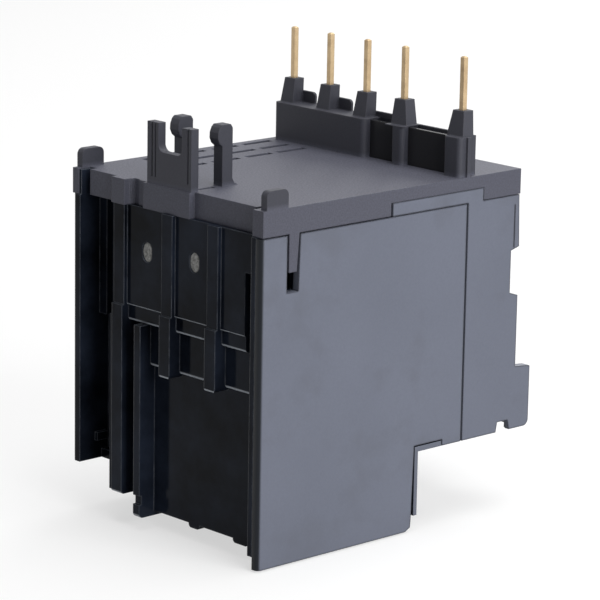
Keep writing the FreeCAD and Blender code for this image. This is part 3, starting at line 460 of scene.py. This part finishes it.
def cap_material():
    """Coarse speckled grain, stronger on top; the upright fittings are smoother and painted
    darker as shade.
    """
    cap_top = at(0, 0, 56.3)[2]
    fittings_start, fittings_full = cap_top + 0.0001, cap_top + 0.0008
    fittings_painted_shade = 0.52
    m = plastic("textured_grey", (0.062, 0.064, 0.086), roughness=0.6, cloud=0.06,
                grain_scale=3600.0, grain=0.8, specular=0.35)
    t = m.node_tree
    finish = finish_of(m)
    facing = parts_of(t, t.nodes.new("ShaderNodeNewGeometry").outputs["Normal"])

    height = parts_of(t, own_place(t))["Z"]
    # Painted shade: everything standing above the cap's top is painted about half as bright, as
    # the shade on their rear faces.
    darker = ramp(t, height, (fittings_start, fittings_full), (1.0, fittings_painted_shade))
    rough_top = ramp(t, facing["Z"], (0.4, 0.9), (0.16, 0.45))
    t.links.new(arithmetic(t, "MULTIPLY", rough_top, darker), finish.inputs["Speckle"])
    return recolour(m, tint(t, finish.outputs["Colour"], darker))


dress(cap_material(), "top_cap")
dress(plastic("screen_black", (0.024, 0.024, 0.027), roughness=0.2, cloud=0.03,
              grain_scale=2600.0, grain=0.02, edge=0.0002, specular=0.15), "socket_screen")

# ------------------------------------------------------------ pins and metal
# Square contact pins in pale tinned brass stand in the cap's posts. Bars and contacts are
# pressed from copper alloy and lie in the housing; screws, washers and pivots are zinc plated.


def metal_group():
    """Metal: faint drawn lines along one axis, spots of tarnish and softened edges."""
    g = new_group("drawn_metal",
                  (("Roughness", 0.3), ("Tarnish", 0.2), ("Lines", 0.2), ("Edge", 0.0001)),
                  (("Colour", (0.8, 0.7, 0.5, 1)), ("Old Colour", (0.5, 0.4, 0.3, 1))))
    given = g.nodes.new("NodeGroupInput")
    out = g.nodes.new("NodeGroupOutput")
    place = own_place(g)
    stretch = g.nodes.new("ShaderNodeMapping")
    stretch.inputs["Scale"].default_value = (3000, 3000, 120)
    g.links.new(place, stretch.inputs["Vector"])
    lines = noise(g, stretch.outputs["Vector"], scale=1.0, detail=2.0)

    spots = noise(g, place, scale=260.0, detail=4.0, roughness=0.6)
    spots = ramp(g, spots, (0.42, 0.7), (0.0, 1.0))
    old = arithmetic(g, "MULTIPLY", spots, given.outputs["Tarnish"])
    colour = g.nodes.new("ShaderNodeMix")
    colour.data_type = "RGBA"
    g.links.new(old, colour.inputs["Factor"])
    g.links.new(given.outputs["Colour"], colour.inputs["A"])
    g.links.new(given.outputs["Old Colour"], colour.inputs["B"])
    duller = arithmetic(g, "MULTIPLY", old, 0.3)
    rough = arithmetic(g, "ADD", given.outputs["Roughness"], duller)
    soft = softened_normal(g, given, samples=4)
    normal = relief(g, lines, given.outputs["Lines"], soft, depth=0.000008)

    g.links.new(colour.outputs["Result"], out.inputs["Colour"])
    g.links.new(rough, out.inputs["Roughness"])
    g.links.new(normal, out.inputs["Normal"])
    return g


metal_finish = metal_group()


def metal(name, colour, old_colour, roughness, tarnish=0.25, lines=0.3, edge=0.0001,
          metallic=1.0):
    """Metal finish with its own colour, tarnish and drawn lines."""
    m, shader = finished(name, metal_finish, {
        "Colour": (*colour, 1), "Old Colour": (*old_colour, 1), "Roughness": roughness,
        "Tarnish": tarnish, "Lines": lines, "Edge": edge})
    shader.inputs["Metallic"].default_value = metallic
    return m


dress(metal("pale_brass", (0.56, 0.42, 0.25), (0.26, 0.17, 0.10), roughness=0.42, tarnish=0.5,
            lines=0.4, metallic=0.8),
      "main_conductor_1", "main_conductor_2", "main_conductor_3", "coil_conductor",
      "aux_conductor")
dress(metal("copper_alloy", (0.72, 0.46, 0.30), (0.40, 0.25, 0.17), roughness=0.36,
            tarnish=0.35),
      "load_bar_1", "load_bar_2", "load_bar_3", "nc_terminal_1", "nc_terminal_2",
      "no_terminal_1", "no_terminal_2", "nc_bridge", "no_bridge")
dress(metal("zinc_steel", (0.62, 0.63, 0.65), (0.42, 0.42, 0.42), roughness=0.32),
      "main_screws", "main_washers", "aux_screws", "aux_washers", "pivot_pins")

# -------------------------------------------------------------- the mechanism
# Bimetal strips with a heater ribbon wound over a woven glass sleeve, and the slides, levers
# and contact carrier that they push, moulded in natural and dark engineering plastic.

dress(metal("bimetal_strip", (0.55, 0.53, 0.50), (0.36, 0.32, 0.28), roughness=0.3,
            tarnish=0.3),
      "bimetal_1", "bimetal_2", "bimetal_3", "compensation_strip")
dress(metal("heater_ribbon", (0.30, 0.28, 0.27), (0.16, 0.14, 0.13), roughness=0.42,
            tarnish=0.5),
      "heater_1", "heater_2", "heater_3")
dress(plastic("woven_glass", (0.74, 0.71, 0.62), roughness=0.8, grain_scale=1800.0, grain=0.9),
      "heater_sleeve_1", "heater_sleeve_2", "heater_sleeve_3")
dress(plastic("natural_plastic", (0.66, 0.64, 0.57), roughness=0.45, cloud=0.08),
      "mechanism_plate", "compensation_lever", "trip_lever", "setting_lever", "setting_cam")
dress(plastic("slider_plastic", (0.60, 0.57, 0.46), roughness=0.4, cloud=0.08),
      "trip_slider", "differential_slider")
dress(plastic("dark_plastic", (0.10, 0.10, 0.11), roughness=0.4, cloud=0.08),
      "contact_carrier", "reset_plunger")
dress(plastic("signal_orange", (0.72, 0.20, 0.02), roughness=0.4, cloud=0.05), "trip_flag")

# ------------------------------------------------ the control panel and its controls
# Mid grey panel snapped on the front housing, with a white dial, a blue reset button, a red
# stop button and a light grey test slide, all smooth mouldings held from behind.

dress(plastic("panel_grey", (0.22, 0.23, 0.24), roughness=0.42, cloud=0.08,
              grain_scale=3000.0, grain=0.3), "front_cover")
dress(plastic("dial_white", (0.75, 0.75, 0.72), roughness=0.36, cloud=0.05), "dial")
dress(plastic("reset_blue", (0.02, 0.10, 0.42), roughness=0.28, cloud=0.05), "reset_button")
dress(plastic("stop_red", (0.50, 0.015, 0.015), roughness=0.28, cloud=0.05), "stop_button")
dress(plastic("test_grey", (0.50, 0.51, 0.52), roughness=0.4, cloud=0.05), "test_slide")

# --------------------------------------------------------- the return springs
# Coils of hard steel wire that stand between the housing and the two push buttons.

spring_wire = metal("spring_wire", (0.45, 0.46, 0.48), (0.28, 0.28, 0.28), roughness=0.3,
                    tarnish=0.2)
dress(spring_wire, "reset_spring", "stop_spring")


def new_piece(name, mesh, material, body):
    """Smooth-shaded or flat mesh as a piece of its own, riding on a body."""
    mesh.materials.append(material)
    piece = bpy.data.objects.new(name, mesh)
    bpy.context.scene.collection.objects.link(piece)
    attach(piece, body)
    return piece


def shade_smooth(mesh):
    mesh.polygons.foreach_set("use_smooth", np.ones(len(mesh.polygons), bool))


def return_spring(name, node):
    """The wound coil again, its doubled points merged and its faces smooth, as a piece of its own
    on the housing.
    """
    wound = bmesh.new()
    wound.from_mesh(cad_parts[node].data)
    bmesh.ops.remove_doubles(wound, verts=wound.verts, dist=1e-7)
    mesh = bpy.data.meshes.new(name)
    wound.to_mesh(mesh)
    wound.free()
    shade_smooth(mesh)
    piece = new_piece(name, mesh, spring_wire, "housing")
    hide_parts(node)
    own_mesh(piece)


return_spring("reset_coil", "reset_spring")
return_spring("stop_coil", "stop_spring")

# ------------------------------------------------------------- the clear flap
# Thin moulding in clear plastic over the dial, with a pin at its lower edge that turns in
# two eyes of the control panel.


def clear_moulding():
    """Clear plastic with a trace of haze."""
    m = bpy.data.materials.new("clear_moulding")
    m.use_nodes = True
    t = m.node_tree
    shader = t.nodes["Principled BSDF"]
    shader.inputs["Base Color"].default_value = (0.93, 0.95, 0.96, 1)
    shader.inputs["Transmission Weight"].default_value = 1.0
    shader.inputs["IOR"].default_value = 1.25
    haze = noise(t, own_place(t), scale=90.0, detail=3.0)
    t.links.new(ramp(t, haze, (0.3, 0.7), (0.03, 0.09)), shader.inputs["Roughness"])
    return m


dress(clear_moulding(), "dial_cover")

# ------------------------------------------------------------ the mould marks
# Two rough ovals where ejector pins left the rear panels: pale speckled plastic, moulded in
# one with the casing and standing almost flush in their shallow recesses.


def mould_mark_material():
    """Pale plastic, speckled dark."""
    m = plastic("mould_mark", (0.36, 0.36, 0.35), roughness=0.65, grain_scale=3000.0,
                grain=0.8, edge=0.0001, specular=0.3)
    t = m.node_tree
    dots = noise(t, own_place(t), scale=2600.0, detail=3.0, roughness=0.7)
    dots = ramp(t, dots, (0.38, 0.62), (0.45, 1.25))
    return recolour(m, tint(t, finish_of(m).outputs["Colour"], dots))


def mould_mark(name, x, z, seed):
    """Low oval facing the rear, as rings round a middle point.

    Each ring is the outer oval times r. Its height over the recess is
    0.10 * (1 - r ** 6), roughened by chance.
    """
    rings, around = 10, 56
    half_width, half_height = 1.1, 1.55
    middle_depth, foot_depth = 1.15, 1.29
    crown, unevenness = 0.10, 0.012
    r = np.arange(1, rings + 1)[:, None] / rings
    a = 2 * pi * np.arange(around)[None, :] / around
    chance = np.random.default_rng(seed).normal(0, unevenness, (rings, around))
    swell = crown * (1 - r ** 6) + chance
    oval = at(x + half_width * r * np.cos(a), foot_depth - swell,
              z + half_height * r * np.sin(a))
    points = np.vstack([at(x, middle_depth, z), oval.reshape(3, -1).T])

    step = np.arange(around)
    onward = (step + 1) % around
    fan = np.stack([0 * step, 1 + onward, 1 + step], 1)
    start = 1 + around * np.arange(rings - 1)[:, None]
    inner, inner_next = start + step, start + onward
    bands = np.stack([inner, inner_next, inner_next + around, inner + around], -1)
    mesh = bpy.data.meshes.new(name)
    mesh.from_pydata(points.tolist(), [], fan.tolist() + bands.reshape(-1, 4).tolist())
    shade_smooth(mesh)
    new_piece(name, mesh, mould_mark_finish, "housing")


mould_mark_finish = mould_mark_material()
mould_mark("mould_mark_1", x=5.4, z=45.2, seed=3)
mould_mark("mould_mark_2", x=-5.85, z=45.5, seed=8)

# ------------------------------------------------------- the scale and the numbers
# Thin prints of ink: in dark ink the scale round the dial with three settings, and in pale ink
# the usual numbers above the control terminals and below the main ones.

ink_pale = plastic("ink_pale", (0.62, 0.62, 0.60), roughness=0.6, cloud=0.05,
                   grain_scale=3000.0, grain=0.2)
ink_dark = plastic("ink_dark", (0.03, 0.03, 0.032), roughness=0.6, cloud=0.05,
                   grain_scale=3000.0, grain=0.2)


def printed(name, points, faces, ink, slot):
    mesh = bpy.data.meshes.new(name)
    mesh.from_pydata(points.tolist(), [], faces)
    new_piece(name, mesh, ink, "housing")


def figures(words, depth, height):
    """Short figures, each (text, x, z), centred there and flat on a face at this depth."""
    points, faces = np.empty((0, 3)), []
    for text, x, z in words:
        curve = bpy.data.curves.new("figure", "FONT")
        curve.body = text
        curve.size = height / 1000
        curve.align_x = "CENTER"
        curve.align_y = "CENTER"
        holder = bpy.data.objects.new("figure", curve)
        bpy.context.scene.collection.objects.link(holder)
        mesh = bpy.data.meshes.new_from_object(holder)
        flat = np.empty(3 * len(mesh.vertices))
        mesh.vertices.foreach_get("co", flat)
        across, upwards, _ = flat.reshape(-1, 3).T
        upright = np.stack([across, 0 * across, upwards], 1)
        faces += [tuple(len(points) + k for k in f.vertices) for f in mesh.polygons]
        points = np.vstack([points, at(x, depth, z) + upright])
        bpy.data.objects.remove(holder)
        bpy.data.curves.remove(curve)
        bpy.data.meshes.remove(mesh)
    return points, faces


def dial_scale(x, z, depth, inner, outer, wide):
    """Strokes round the dial every 20 degrees from -120 to 120, every third one longer.

    A corner is the stroke's direction times its radius plus its crosswise half width.
    """
    strokes = np.arange(13)
    a = np.radians(-120 + 20 * strokes)
    reach = np.where(strokes % 3 == 0, outer, outer - 0.35)
    near = np.full(len(strokes), inner)
    radius = np.stack([near, near, reach, reach], 1)
    shift = wide / 2 * np.array([-1, 1, 1, -1])
    along_x, along_z = np.sin(a)[:, None], np.cos(a)[:, None]
    px = along_x * radius + along_z * shift
    pz = along_z * radius - along_x * shift
    points = at(x + px, depth + 0 * px, z + pz).reshape(3, -1).T
    return points, np.arange(4 * len(strokes)).reshape(-1, 4).tolist()


panel_print = 62.03
control_print = 56.06
terminal_print = 59.73
printed("dial_scale", *dial_scale(9.4, 34.0, panel_print, inner=5.75, outer=6.9, wide=0.22),
        ink_dark, "casing_black")
settings = [("1.6", 3.9, 29.6), ("2", 9.4, 40.9), ("2.5", 15.2, 29.6)]
printed("dial_figures", *figures(settings, panel_print, height=1.5), ink_dark, "casing_black")
control_numbers = [("97", -11.1, 51.35), ("98", -3.7, 51.35), ("95", 3.7, 51.35),
                   ("96", 11.1, 51.35)]
printed("control_figures", *figures(control_numbers, control_print, height=1.5), ink_pale,
        "test_grey")
main_numbers = [("2", -12, 14.95), ("4", 0, 14.95), ("6", 12, 14.95)]
printed("main_figures", *figures(main_numbers, terminal_print, height=1.6), ink_pale,
        "test_grey")
